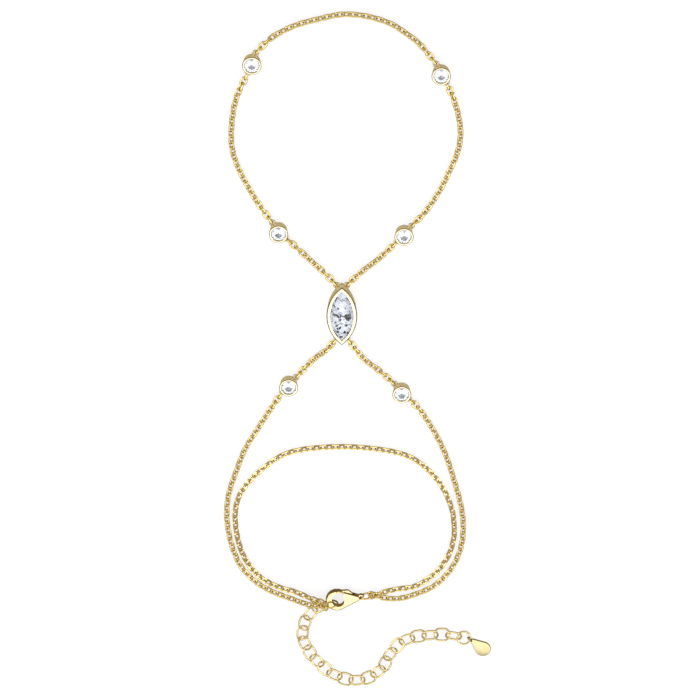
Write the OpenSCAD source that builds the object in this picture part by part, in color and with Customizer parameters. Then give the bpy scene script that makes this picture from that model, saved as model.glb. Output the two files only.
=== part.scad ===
// Chain bracelet with a hand loop, lying flat. Millimetres, +Z up, +Y towards the hand.
// The origin is under the middle of the whole piece, on the surface that it lies on.

/* [Fine chain] */
// Wire diameter of a fine link
link_wire = 0.36; // [0.3:0.01:0.36]
// Outer length of a fine link
link_len = 2.2; // [2.18:0.01:2.22]
// Outer width of a fine link
link_wid = 1.45; // [1.42:0.01:1.5]
// Longest spacing of two links along a chain
link_step = 1.34; // [1.26:0.01:1.34]

/* [Round settings] */
// Outer diameter at the rim
cup_d = 3.96; // [3.9:0.02:4.1]
// Height from the back to the rim
cup_h = 2.7; // [2.6:0.05:3]
// Diameter of a round stone
gem_d = 3.0; // [2.9:0.02:3.04]

/* [Marquise setting] */
// Length of the rim from tip to tip
marquise_l = 13.2; // [13:0.1:13.4]
// Width across the rim
marquise_w = 6.4; // [6.3:0.05:6.6]
// Height from the back to the rim
marquise_h = 3.3; // [3.1:0.05:3.6]
// Width of the rim seen from above
marquise_rim = 0.8; // [0.7:0.02:0.85]

/* [Clasp] */
// Radius of the round head
head_r = 2.38; // [2.34:0.01:2.42]
// Thickness of the body
clasp_t = 1.5; // [1.44:0.02:1.52]
// Wire diameter of the rings at its hook and tail
ring_wire = 0.38; // [0.34:0.01:0.4]

/* [Extender] */
// Wire diameter of an extender link
ext_wire = 0.38; // [0.34:0.01:0.4]
// Outer length of an extender link
ext_len = 3.74; // [3.72:0.01:3.8]
// Outer width of an extender link
ext_wid = 2.9; // [2.8:0.05:3]
// Longest spacing of two extender links
ext_step = 2.66; // [2.62:0.01:2.74]

/* [End tag] */
// Radius of the round end
tag_r = 1.7; // [1.5:0.05:1.8]
// Thickness of the plate
tag_t = 0.5; // [0.4:0.05:0.6]

/* [Hidden] */
$fn = 32;
gold = [0.93, 0.77, 0.38];
clear_stone = [0.9, 0.92, 0.95];
lie = link_wid / 2 + 0.01;  // height of a chain's middle above the surface
gem_gap = 0.08;         // clearance between a stone and its seat

// Eyelets: small rings soldered flat against a wall, level with the chain's middle
eye_r = 0.55;           // radius to the middle of the eyelet's wire
eye_out = 0.42;         // from the wall to the eyelet's middle
eye_lead = 0.85;        // from the eyelet's middle to the middle of the first link
ring_lead = 0.3;        // from a ring's wire to the middle of the first link

// Round settings: place of each cup, then the bearings of its two eyelets
cups = [
    [[-21.7, 67.0], 70, 250],
    [[16.9, 64.7], 117, -62],
    [[-16.5, 29.6], 125, -48],
    [[9.5, 29.0], 48, 231],
    [[-14.6, -5.6], 46, 234],
    [[9.2, -7.2], 132, -50]];
cup_back_r = cup_d / 2 - 0.28;              // radius of the flat back
cup_wall_r = cup_back_r + 0.1;              // radius of the wall at the eyelets

// Marquise: two arcs of one radius whose centres lie on either side of the middle
marquise_at = [-3.4, 11.2];
arc_r = (pow(marquise_l, 2) + pow(marquise_w, 2)) / 4 / marquise_w;
arc_off = arc_r - marquise_w / 2;
arc_taper = 0.2;                            // how far the wall leans in at the back
tip_bearing = 44;                           // bearing of the eyelets beside each tip
tip_wall_r = arc_r - arc_taper * (1 - lie / marquise_h);

// Clasp: place of the head's middle, and the bearing from head to tail
clasp_at = [-4.5, -56.5];
clasp_turn = 7;
clasp_z = 0.75;                             // height of the underside
clasp_mid = clasp_z + clasp_t / 2;
throat_r = 1.33;                            // radius of the hole inside the hook
throat_x = 0.27;
throat_y = [-0.13, 0.45];                   // the hole is drawn out between these two places
shoulder = [4.3, 0.65];                     // end of the thick body: place and radius
tail_eye = [5.2, 0.66, 0.43];               // place, outer radius and hole radius
tail_t = 0.9;
pivot = [2.4, 0.35];
pin_r = 0.25;
bore_r = 0.3;
gate_r = 2.75;                              // from the pivot to the gate's end
gate_gap = 0.12;
gate_x = [0.8, 1.5];                        // where the slot starts and the thick gate ends
gate_y = 1.7;                               // underside of the gate
slot_t = 0.9;
slot_end = [3.9, -0.35];
arm_t = 0.7;
gate_lap = 0.3;                             // how far the arm runs into the thick gate
gate_edge = 0.4;                            // height of the arm where it leaves the gate
boss_r = 0.55;
thumb = [2.5, 1.75, 0.3];                   // thumb piece: place and radius
thumb_foot = [3.6, 1];                      // where it runs out towards the tail

// Rings at the clasp stand upright in line with it: place along it, place across it, radius
hook_ring_at = [-1.62, -0.75, 1.66];
tail_ring_at = [6.4, 0, 1.24];

ext_z = 1.01;                               // height of the extender's middle

// Tag: its ring is the last link of the extender, and the plate points away along a bearing
tag_ring_r = 1.38;
tag_bearing = -42;
tag_ring_turn = -16;                        // bearing of the line about which its ring leans
tag_lean = -16;                             // how far its ring leans
tag_ring_at = [22.9, -66.3, 0.72];
tag_hold = -15;                             // bearing of the place where the tag hangs on its ring
tag_neck = [2.2, 0.45];                     // narrow end: place and radius
tag_end = 5.2;                              // place of the round end
tag_eye_r = 0.6;                            // the tag's upright eyelet: radius, wire, place, height
tag_eye_wire = 0.28;
tag_eye_at = tag_ring_r - 0.05;
tag_eye_z = tag_eye_r + tag_eye_wire / 2 + 0.01;
function tag_at() = [tag_ring_at[0], tag_ring_at[1]]
    + tag_eye_at * (bearing(tag_hold) - bearing(tag_bearing));

function bearing(a) = [cos(a), sin(a)];
function flat_point(p, z) = [p[0], p[1], z];
function cup_eye(k, side) =
    flat_point(cups[k][0] + (cup_wall_r + eye_out) * bearing(cups[k][side]), lie);
function tip_point(r, sx, sy) =
    [sx * (r * cos(tip_bearing) - arc_off), sy * r * sin(tip_bearing)];
function tip_eye(sx, sy) = flat_point(marquise_at + tip_point(tip_wall_r + eye_out, sx, sy), lie);
function on_clasp(x, y, z) = [
    clasp_at[0] + x * cos(clasp_turn) - y * sin(clasp_turn),
    clasp_at[1] + x * sin(clasp_turn) + y * cos(clasp_turn), z];

// A point of an upright ring's wire: a is 0 at its far right and 180 at its far left
function ring_z(ring) = ring[2] + ring_wire / 2;
function ring_point(ring, a) =
    on_clasp(ring[0] + ring[2] * cos(a), ring[1], ring_z(ring) + ring[2] * sin(a));

// Routes of the fine chains. Each run: distance to the first link and its roll, the points
// that the chain passes, distance to the last link and its roll. A link with a roll of 90
// stands on edge, to pass through a flat eyelet; one with a roll of 0 lies flat.
function run(points, lead_0 = eye_lead, roll_0 = 90, lead_1 = eye_lead, roll_1 = 90) =
    [lead_0, roll_0, [for (p = points) len(p) == 3 ? p : flat_point(p, lie)], lead_1, roll_1];

hand_runs = [
    run([cup_eye(0, 1), [-17.5, 72.5], [-13, 75], [-8, 76.5], [-3, 77.5], [2, 77],
        [6.5, 75.5], [9.5, 73.5], [12.5, 71], cup_eye(1, 1)]),
    run([cup_eye(0, 2), [-24.5, 60.5], [-25.5, 57], [-26, 53], [-26, 48.5], [-25, 44.5],
        [-23, 40], [-20.5, 35.5], cup_eye(2, 1)]),
    run([cup_eye(1, 2), [19.5, 59], [20.5, 55.5], [21, 51.5], [20.5, 47.5], [19, 43.5],
        [17, 39], [14, 34], cup_eye(3, 1)]),
    run([cup_eye(2, 2), [-12, 25], [-9.5, 22.5], [-7, 20], tip_eye(-1, 1)]),
    run([cup_eye(3, 2), [6.5, 25.5], [4, 23], [1, 20.5], tip_eye(1, 1)])];
fork_runs = [
    run([tip_eye(-1, -1), [-6.5, 2.5], [-9.5, 0], cup_eye(4, 1)]),
    run([tip_eye(1, -1), [-0.5, 2.5], [1.5, 0], [4.5, -2.5], cup_eye(5, 1)])];
outer_runs = [
    run([cup_eye(4, 2), [-18.5, -11.5], [-21.5, -16.5], [-24, -21], [-26, -26.5],
        [-27.5, -31.5], [-28, -36.5], [-27.5, -41.5], [-26.5, -45.5], [-25, -49],
        [-22.2, -52.4], [-18.6, -54.9], [-14.2, -56.8, 0.75], [-12.1, -57.4, 1.2], [-10.1, -57.7, 1.9],
        ring_point(hook_ring_at, 163)], lead_1 = ring_lead, roll_1 = 0),
    run([cup_eye(5, 2), [13, -11.5], [16, -16.5], [18.5, -22], [20.5, -28.5],
        [22, -34.5], [22.5, -39.5], [22, -44.5], [20, -49.5], [16.5, -53.5],
        [12, -55.8], [8.5, -56.7], [5.5, -56.5], ring_point(tail_ring_at, -30)],
        lead_1 = ring_lead, roll_1 = 0)];

// Route of the wrist chain, from the tail ring round the wrist to the hook ring
wrist_points = [[3.7, -55.3, 2], [6, -54.6, 1.5], [8.4, -54.3, 0.9], [12, -53.8], [15, -52],
    [17.5, -49.5], [19.5, -46], [20.5, -42], [20.5, -38.5], [20, -35], [18.5, -31],
    [16, -27], [12, -23.3], [8, -21.6], [3, -20.7], [-2, -20.3], [-7, -20.4], [-12, -21],
    [-16, -22.3], [-20, -25.3], [-23.5, -29], [-25.5, -32.5], [-26.2, -36.5],
    [-25.9, -41], [-25, -45], [-23.3, -48.6], [-20.6, -51.8], [-17, -53.9], [-13.5, -54.9, 0.8],
    [-10.6, -55.5, 1.9], [-9.1, -56, 2.7], [-8, -56.7, 3]];

// Route of the extender, from the hook ring to the tag's ring
ext_points = [ring_point(hook_ring_at, 198), [-9.1, -58.8, 0.95], [-10.3, -60.4, 1.05],
    [-11.5, -62.5, 1.1], [-11.9, -65.3, ext_z], [-11.2, -68.2, ext_z], [-9.5, -71, ext_z],
    [-7, -73.8, ext_z], [-4, -75.8, ext_z], [-0.5, -76.6, ext_z], [3, -75.6, ext_z],
    [5.5, -73.2, ext_z], [7, -70.2, ext_z], [9, -67.6, ext_z], [12, -66, ext_z],
    [15.5, -65.5, ext_z], [19, -65.4, 0.95], tag_ring_at];

// A smooth curve through a route's points, and places along it by length
function smooth(a, b, c, d, u) =
    0.5 * (2 * b + (c - a) * u + (2 * a - 5 * b + 4 * c - d) * u * u
        + (3 * b - a - 3 * c + d) * u * u * u);
function curve(p, steps = 6) = [
    for (i = [0:len(p) - 2]) for (k = [0:steps - 1])
        smooth(p[max(i - 1, 0)], p[i], p[i + 1], p[min(i + 2, len(p) - 1)], k / steps),
    p[len(p) - 1]];
function lengths(p) =
    [for (i = 0, s = 0; i < len(p); s = i + 1 < len(p) ? s + norm(p[i + 1] - p[i]) : s, i = i + 1) s];
function axis_table(p, s, axis) = [for (i = [0:len(p) - 1]) [s[i], p[i][axis]]];
function tables(p) = let (s = lengths(p)) [for (axis = [0:2]) axis_table(p, s, axis)];
function along(t, s) = [for (axis = [0:2]) lookup(s, t[axis])];
function heading(t, s) = let (d = along(t, s + 0.2) - along(t, s - 0.2)) d / norm(d);
function span(t) = t[0][len(t[0]) - 1][0];
function mod_180(a) = (a % 180 + 180) % 180;

// One link: two half rings joined by two straight wires, in the XY plane along X
module link(l, w, wire) {
    r = (w - wire) / 2;
    for (turn = [0, 180]) rotate([0, 0, turn]) {
        translate([(l - w) / 2, 0, 0]) rotate([0, 0, -90])
            rotate_extrude(angle = 180) translate([r, 0]) circle(d = wire);
        translate([(w - l) / 2, r, 0]) rotate([0, 90, 0]) cylinder(d = wire, h = l - w);
    }
}

module placed(t, s, roll) {
    d = heading(t, s);
    translate(along(t, s)) rotate([roll, -asin(d[2]), atan2(d[1], d[0])]) children();
}

// A run of fine links: each turns a quarter from the last. They rest leaning both ways alike,
// but near an end they turn so that the end link keeps the roll that its eyelet needs
chain_lean = 45;
chain_tip = 25;                             // how far the chain tips towards +Y where it runs across
turn_in = 4;                                // number of links over which an end turns
module fine_chain(r) {
    t = tables(curve(r[2]));
    free = span(t) - r[0] - r[3];
    last = ceil(free / link_step);
    color(gold)
        for (i = [0:last])
            let (s = r[0] + free * i / last,
                share = min(1, i / turn_in, (last - i) / turn_in),
                held = i < last / 2 ? r[1] : mod_180(r[4] - 90 * last))
                placed(t, s, 90 * i + held + share * (chain_lean - chain_tip * heading(t, s)[0] - held))
                    link(link_len, link_wid, link_wire);
}

module torus(r, wire) rotate_extrude() translate([r, 0]) circle(d = wire);

module eyelet() torus(eye_r, link_wire);

// Closed round cup: a leaning wall, a lip over the stone, and a hollow that follows its cone
gem_girdle_z = cup_h - 0.5;
gem_crown = 0.46;
gem_depth = 1.3;
cup_edge = 0.1;                             // bevel of the rim and the back
lip_t = 0.28;                               // thickness of the lip over the stone
module round_setting(k) {
    rim_r = cup_d / 2;
    lip_r = gem_d / 2 - 0.05;
    seat_r = gem_d / 2 + gem_gap;
    hollow = gem_girdle_z - gem_depth - 0.12;
    color(gold) translate(cups[k][0]) {
        rotate_extrude() polygon([[0, 0], [cup_back_r - cup_edge, 0], [cup_back_r, cup_edge],
            [rim_r, cup_h - cup_edge], [rim_r - cup_edge, cup_h], [lip_r + cup_edge, cup_h],
            [lip_r, cup_h - cup_edge], [lip_r, cup_h - lip_t], [seat_r, cup_h - lip_t - gem_gap],
            [seat_r, gem_girdle_z - 0.05], [0.12, hollow], [0, hollow]]);
        for (side = [1, 2])
            translate(flat_point((cup_wall_r + eye_out) * bearing(cups[k][side]), lie)) eyelet();
    }
}

// Points of a brilliant cut on any outline: rows are share of the width, height, first step
function gem_rows(crown, depth, girdle) = [
    [0.55, crown, 0], [0.78, 0.62 * crown, 1], [1, 0, 0], [1, 0, 1],
    [1, -girdle, 0], [1, -girdle, 1], [0.22, -girdle - 0.8 * depth, 1]];
function circle_edge(r, a) = r * bearing(a);
function arc_edge(r, a) =
    let (side = a > 90 && a < 270 ? -1 : 1, half = acos(arc_off / r),
        b = side > 0 ? (a > 180 ? a - 360 : a) : 180 - a, phi = half * b / 90)
    [side * (r * cos(phi) - arc_off), r * sin(phi)];
function gem_points(rows, edges) = [
    for (row = rows) for (k = [0:7]) flat_point(row[0] * edges[2 * k + row[2]], row[1])];

// A cut stone: the smallest solid round its rows of corners and its point below, with its
// girdle's top at z = 0
module gem(edges, crown, depth, girdle) {
    rows = gem_rows(crown, depth, girdle);
    points = gem_points(rows, edges);
    low = len(points);
    hull() polyhedron(concat(points, [[0, 0, -girdle - depth]]),
        concat([for (r = [0:len(rows) - 1]) [for (k = [0:7]) 8 * r + k]], [[low - 8, low - 4, low]]));
}

module round_stone(k) color(clear_stone)
    translate(flat_point(cups[k][0], gem_girdle_z))
        gem([for (j = [0:15]) circle_edge(gem_d / 2, j * 22.5)], gem_crown, gem_depth - 0.06, 0.06);

// A body whose outline is the marquise: where two leaning walls cross
module marquise_body(z, h, r_low, r_high) {
    intersection() {
        translate([-arc_off, 0, z]) cylinder(r1 = r_low, r2 = r_high, h = h, $fn = 96);
        translate([arc_off, 0, z]) cylinder(r1 = r_low, r2 = r_high, h = h, $fn = 96);
    }
}

marquise_girdle_z = marquise_h - 0.62;
marquise_seat_r = arc_r - marquise_rim + 0.18;
marquise_depth = 1.75;
module marquise_setting() {
    hollow = marquise_girdle_z - marquise_depth - 0.15;
    color(gold) translate(marquise_at) {
        difference() {
            marquise_body(0, marquise_h, arc_r - arc_taper, arc_r);
            marquise_body(marquise_h - 0.3, 0.4, arc_r - marquise_rim, arc_r - marquise_rim);
            marquise_body(marquise_girdle_z - 0.2, marquise_h - 0.4 - marquise_girdle_z + 0.2,
                marquise_seat_r, marquise_seat_r);
            marquise_body(marquise_h - 0.4, 0.1, marquise_seat_r, arc_r - marquise_rim);
            marquise_body(hollow, marquise_girdle_z - 0.2 - hollow,
                arc_off + 0.3, marquise_seat_r);
        }
        for (sx = [-1, 1]) for (sy = [-1, 1])
            translate(flat_point(tip_point(tip_wall_r + eye_out, sx, sy), lie)) eyelet();
    }
}

module marquise_stone() color(clear_stone)
    translate(flat_point(marquise_at, marquise_girdle_z))
        gem([for (j = [0:15]) arc_edge(marquise_seat_r - gem_gap, j * 22.5)],
            0.62, marquise_depth - 0.1, 0.1);

// The wrist chain as one thin rod, narrow at both ends where it nears the rings
wrist_r = 0.56;
wrist_end_r = 0.3;
wrist_ring_step = 2.2;
module wrist_chain() {
    t = tables(curve([for (p = wrist_points) len(p) == 3 ? p : flat_point(p, lie)]));
    count = ceil(span(t) / wrist_ring_step);
    points = [for (i = [0:count])
        let (s = span(t) * i / count, d = heading(t, s), side = [-d[1], d[0], 0] / norm([d[0], d[1]]),
            up = cross(d, side), r = i == 0 || i == count ? wrist_end_r : wrist_r)
        for (k = [0:7])
            along(t, s) + r * (cos(45 * k + 22.5) * side + sin(45 * k + 22.5) * up)];
    walls = [for (i = [0:count - 1]) for (k = [0:7])
        let (a = 8 * i + k, b = 8 * i + (k + 1) % 8) each [[a, b, b + 8], [a, b + 8, a + 8]]];
    color(gold) polyhedron(points, concat([[for (k = [7:-1:0]) k]], walls,
        [[for (k = [0:7]) 8 * count + k]]));
}

// Extender: links lean left and right in turn, and tip towards +Y where the chain runs across
ext_lead = 1.12;                            // from the hook ring's wire to the first link's middle
ext_lean = 26;
ext_tip = 14;
ext_settle = [2, 3];                        // number of links at each end that tip less
tag_lead = 2.3;                             // from the last link's middle to the tag's ring
module extender_chain() {
    t = tables(curve(ext_points));
    free = span(t) - ext_lead - tag_lead;
    last = ceil(free / ext_step);
    color(gold)
        for (i = [0:last])
            let (s = ext_lead + free * i / last,
                share = min(1, i / ext_settle[0], (last - i) / ext_settle[1]))
                placed(t, s, ext_lean * (i % 2 == 0 ? 1 : -1) - ext_tip * share * heading(t, s)[0])
                    link(ext_len, ext_wid, ext_wire);
}

module tag_ring() color(gold)
    translate(tag_ring_at) rotate([tag_lean, 0, tag_ring_turn])
        torus(tag_ring_r, ext_wire);

// Outline round two discs of different radius on the X axis, without the discs themselves
module flank(x0, r0, x1, r1) {
    b = acos((r0 - r1) / (x1 - x0));
    polygon([[x0 + r0 * cos(b), r0 * sin(b)], [x1 + r1 * cos(b), r1 * sin(b)],
        [x1 + r1 * cos(b), -r1 * sin(b)], [x0 + r0 * cos(b), -r0 * sin(b)]]);
}

module drop(x0, r0, x1, r1) {
    translate([x0, 0]) circle(r0);
    translate([x1, 0]) circle(r1);
    flank(x0, r0, x1, r1);
}

module end_tag() color(gold)
    translate(flat_point(tag_at(), 0)) rotate([0, 0, tag_bearing]) {
        linear_extrude(tag_t) rotate([0, 0, 180]) drop(-tag_end, tag_r, -tag_neck[0], tag_neck[1]);
        translate([tag_eye_at, 0, tag_eye_z]) rotate([90, 0, 0]) torus(tag_eye_r, tag_eye_wire);
    }

module clasp_place() translate(flat_point(clasp_at, 0)) rotate([0, 0, clasp_turn]) children();

module upright_ring(ring) color(gold)
    clasp_place() translate([ring[0], ring[1], ring_z(ring)]) rotate([90, 0, 0])
        torus(ring[2], ring_wire);
module hook_ring() upright_ring(hook_ring_at);
module tail_ring() upright_ring(tail_ring_at);

module clasp_outline() drop(0, head_r, shoulder[0], shoulder[1]);

// What the body leaves open: the hole inside the hook and the gap that the gate closes
module throat_hole() hull() for (y = throat_y) translate([throat_x, y]) circle(throat_r);
module throat() {
    throat_hole();
    translate([throat_x, 0]) square([throat_r, 3]);
    intersection() {
        translate(pivot) circle(gate_r + gate_gap);
        translate([-2, 0.6]) square([2 + throat_x + throat_r, 3]);
    }
}

module clasp_body() color(gold) clasp_place() {
    difference() {
        translate([0, 0, clasp_z]) linear_extrude(clasp_t) difference() {
            clasp_outline();
            throat();
            translate([tail_eye[0], 0]) circle(tail_eye[2]);
        }
        translate([gate_x[0], slot_end[1], clasp_mid - slot_t / 2])
            cube([slot_end[0] - gate_x[0], 4, slot_t]);
        translate(flat_point(pivot, clasp_z - 1)) cylinder(r = bore_r, h = clasp_t + 2);
    }
    translate([0, 0, clasp_mid - tail_t / 2]) linear_extrude(tail_t) difference() {
        union() {
            translate([tail_eye[0], 0]) circle(tail_eye[1]);
            translate([shoulder[0], -shoulder[1] + 0.1]) square([0.6, 2 * shoulder[1] - 0.2]);
        }
        translate([tail_eye[0], 0]) circle(tail_eye[2]);
    }
}

function thumb_edge(a) = [thumb[0], thumb[1]] + thumb[2] * bearing(a);

// Lever: a thick gate that meets the hook, a thin arm in the slot, and a thumb piece
module clasp_lever() color(gold) clasp_place() difference() {
    union() {
        translate([0, 0, clasp_z]) linear_extrude(clasp_t) difference() {
            intersection() {
                clasp_outline();
                translate(pivot) circle(gate_r);
                translate([-2, 0.6]) square([2 + gate_x[1], 3]);
            }
            throat_hole();
            translate([throat_x, 0]) square([throat_r, gate_y]);
        }
        translate([0, 0, clasp_mid - arm_t / 2]) linear_extrude(arm_t) {
            translate(pivot) circle(boss_r);
            translate([thumb[0], thumb[1]]) circle(thumb[2]);
            polygon([[gate_x[1] - gate_lap, gate_y], [gate_x[1] - gate_lap, gate_y + gate_edge],
                thumb_edge(90), thumb_edge(45), thumb_foot,
                [pivot[0] + boss_r, pivot[1]], [pivot[0] - boss_r, pivot[1]]]);
        }
    }
    translate(flat_point(pivot, clasp_z - 1)) cylinder(r = bore_r, h = clasp_t + 2);
}

module clasp_pin() color(gold) clasp_place()
    translate(flat_point(pivot, clasp_z)) cylinder(r = pin_r, h = clasp_t);

marquise_setting();
marquise_stone();
for (k = [0:5]) {
    round_setting(k);
    round_stone(k);
}
for (k = [0:4]) fine_chain(hand_runs[k]);
for (k = [0:1]) {
    fine_chain(fork_runs[k]);
    fine_chain(outer_runs[k]);
}
wrist_chain();
hook_ring();
tail_ring();
clasp_body();
clasp_lever();
clasp_pin();
extender_chain();
tag_ring();
end_tag();
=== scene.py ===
# A fine gilt hand chain with bezel-set stones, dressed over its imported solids.
# Lengths are written in millimetres and turned into metres with MM.
import math

import bmesh
import bpy
from mathutils import Matrix, Vector


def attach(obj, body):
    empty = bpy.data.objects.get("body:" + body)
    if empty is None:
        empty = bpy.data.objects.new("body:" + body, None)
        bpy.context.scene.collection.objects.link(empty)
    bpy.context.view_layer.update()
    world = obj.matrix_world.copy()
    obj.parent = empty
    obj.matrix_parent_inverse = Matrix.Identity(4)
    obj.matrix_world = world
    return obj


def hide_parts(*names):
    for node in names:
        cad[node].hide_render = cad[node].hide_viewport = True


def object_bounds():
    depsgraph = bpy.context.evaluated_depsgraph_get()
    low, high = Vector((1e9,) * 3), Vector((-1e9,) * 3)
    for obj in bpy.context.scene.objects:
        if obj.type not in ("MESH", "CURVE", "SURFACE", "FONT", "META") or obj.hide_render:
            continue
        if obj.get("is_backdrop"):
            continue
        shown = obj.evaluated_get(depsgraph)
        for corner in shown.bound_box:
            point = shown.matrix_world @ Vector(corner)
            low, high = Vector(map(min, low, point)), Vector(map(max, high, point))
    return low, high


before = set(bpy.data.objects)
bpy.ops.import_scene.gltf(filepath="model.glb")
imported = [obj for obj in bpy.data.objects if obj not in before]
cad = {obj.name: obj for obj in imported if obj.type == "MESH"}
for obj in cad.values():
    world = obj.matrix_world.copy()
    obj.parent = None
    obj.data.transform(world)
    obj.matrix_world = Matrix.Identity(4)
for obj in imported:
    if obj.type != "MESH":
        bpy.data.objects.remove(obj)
cad_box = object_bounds()
MM = 0.001

# Table, camera and lamps
# The bracelet lies on a plain white table, seen from 25 degrees off the vertical, as on
# a product bench. Three big soft lamps stand round it: opposite the camera, left and right.


def rest():
    """Leaves edit mode and drops whatever is selected."""
    if bpy.context.object and bpy.context.object.mode == "EDIT":
        bpy.ops.object.mode_set(mode="OBJECT")
    bpy.ops.object.select_all(action="DESELECT")


rest()
LOOK_AT = Vector((-1.7, 2.0, 0)) * MM
CAMERA_FAR = 970
CAMERA_LEAN = math.radians(25)
# Width of the table that the picture shows
SEEN_ACROSS = 147
bpy.ops.object.camera_add(
    location=LOOK_AT + CAMERA_FAR * MM * Vector((0, math.sin(CAMERA_LEAN), math.cos(CAMERA_LEAN))),
    rotation=(-CAMERA_LEAN, 0, 0),
)
camera = bpy.context.object
camera.data.lens = camera.data.sensor_width * CAMERA_FAR / SEEN_ACROSS
camera.data.clip_start = 20 * MM
bpy.context.scene.camera = camera

TABLE_ACROSS = 6000
TABLE_DROP = 0.02
bpy.ops.mesh.primitive_plane_add(size=TABLE_ACROSS * MM, location=(0, 0, -TABLE_DROP * MM))
table = bpy.context.object
table.name = "table"
table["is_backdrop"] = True
paper = bpy.data.materials.new("white_table")
paper.use_nodes = True
table.data.materials.append(paper)
tree = paper.node_tree
shade = tree.nodes["Principled BSDF"]
shade.inputs["Base Color"].default_value = (0.93, 0.93, 0.93, 1)
shade.inputs["Roughness"].default_value = 0.85
shade.inputs["Specular IOR Level"].default_value = 0.1

# The camera sees white paper, and polished metal sees the dim room that surrounds it
glow = tree.nodes.new("ShaderNodeEmission")
lit = tree.nodes.new("ShaderNodeMixShader")
gloom = tree.nodes.new("ShaderNodeEmission")
seen_by = tree.nodes.new("ShaderNodeLightPath")
blend = tree.nodes.new("ShaderNodeMixShader")
glow.inputs["Strength"].default_value = 1.03
lit.inputs[0].default_value = 0.72
gloom.inputs["Color"].default_value = (0.20, 0.145, 0.06, 1)
tree.links.new(shade.outputs[0], lit.inputs[1])
tree.links.new(glow.outputs[0], lit.inputs[2])
tree.links.new(seen_by.outputs["Is Glossy Ray"], blend.inputs[0])
tree.links.new(lit.outputs[0], blend.inputs[1])
tree.links.new(gloom.outputs[0], blend.inputs[2])
tree.links.new(blend.outputs[0], tree.nodes["Material Output"].inputs["Surface"])


def lamp(name, place, size, power):
    """A soft oblong lamp that faces the bracelet."""
    place = Vector([v * MM for v in place])
    bpy.ops.object.light_add(type="AREA", location=place)
    light = bpy.context.object
    light.name = name
    light.rotation_euler = (-place).to_track_quat("-Z", "Y").to_euler()
    light.data.shape = "RECTANGLE"
    light.data.size = size[0] * MM
    light.data.size_y = size[1] * MM
    light.data.energy = power


lamp("lamp_opposite", (0, -270, 550), (400, 340), 0.5)
lamp("lamp_left", (-550, 150, 300), (300, 500), 1.0)
lamp("lamp_right", (550, 100, 420), (260, 500), 0.85)

# Around the lamps the room is white for the table, and dim for what the metal mirrors
room = bpy.data.worlds.new("studio_room")
bpy.context.scene.world = room
room.use_nodes = True
tree = room.node_tree
tree.nodes.clear()
node = tree.nodes.new
link = tree.links.new


def colour_stops(ramp, stops):
    """Sets the stops of a colour ramp, which already has one at each end."""
    for at, colour in stops:
        if 0 < at < 1:
            stop = ramp.color_ramp.elements.new(at)
        else:
            stop = ramp.color_ramp.elements[0 if at == 0 else -1]
        stop.color = colour


# The greys of the walls, from the horizon at 0 to straight overhead at 1, are a little warm
way = node("ShaderNodeTexCoord")
height = node("ShaderNodeSeparateXYZ")
walls = node("ShaderNodeValToRGB")
mirrored = node("ShaderNodeBackground")
WALL_GREYS = ((0.0, 0.55), (0.12, 0.5), (0.35, 0.52), (0.7, 0.48), (0.84, 0.8), (1.0, 0.85))
colour_stops(walls, [(at, (grey, grey * 0.93, grey * 0.82, 1)) for at, grey in WALL_GREYS])
link(way.outputs["Generated"], height.inputs[0])
link(height.outputs["Z"], walls.inputs["Fac"])
link(walls.outputs["Color"], mirrored.inputs["Color"])

# What leaves a cut stone meets bright walls with a few dark openings
patches = node("ShaderNodeTexNoise")
openings = node("ShaderNodeValToRGB")
sparkling = node("ShaderNodeBackground")
patches.inputs["Scale"].default_value = 3.4
patches.inputs["Detail"].default_value = 1.0
colour_stops(openings, ((0.0, (0.01, 0.01, 0.02, 1)), (0.30, (0.02, 0.02, 0.03, 1)),
                        (0.36, (1.0, 1.03, 1.1, 1)), (1.0, (1.5, 1.5, 1.55, 1))))
link(way.outputs["Generated"], patches.inputs["Vector"])
link(patches.outputs["Fac"], openings.inputs["Fac"])
link(openings.outputs["Color"], sparkling.inputs["Color"])

# The camera and the table's paper meet plain white
white = node("ShaderNodeBackground")
white.inputs["Color"].default_value = (1, 1, 1, 1)
white.inputs["Strength"].default_value = 0.95
rays = node("ShaderNodeLightPath")
either = node("ShaderNodeMath")
either.operation = "MAXIMUM"
pick_room = node("ShaderNodeMixShader")
pick_white = node("ShaderNodeMixShader")
out = node("ShaderNodeOutputWorld")
link(rays.outputs["Is Transmission Ray"], pick_room.inputs[0])
link(mirrored.outputs[0], pick_room.inputs[1])
link(sparkling.outputs[0], pick_room.inputs[2])
link(rays.outputs["Is Camera Ray"], either.inputs[0])
link(rays.outputs["Is Diffuse Ray"], either.inputs[1])
link(either.outputs[0], pick_white.inputs[0])
link(pick_room.outputs[0], pick_white.inputs[1])
link(white.outputs[0], pick_white.inputs[2])
link(pick_white.outputs[0], out.inputs["Surface"])
bpy.context.scene.view_settings.view_transform = "Standard"

# Marquise setting
# A closed bezel cup of polished gilt brass in the shape of two crossing arcs. Its rim is
# burnished over the stone, and at each tip two eyelets are soldered on for the chains.


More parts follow.
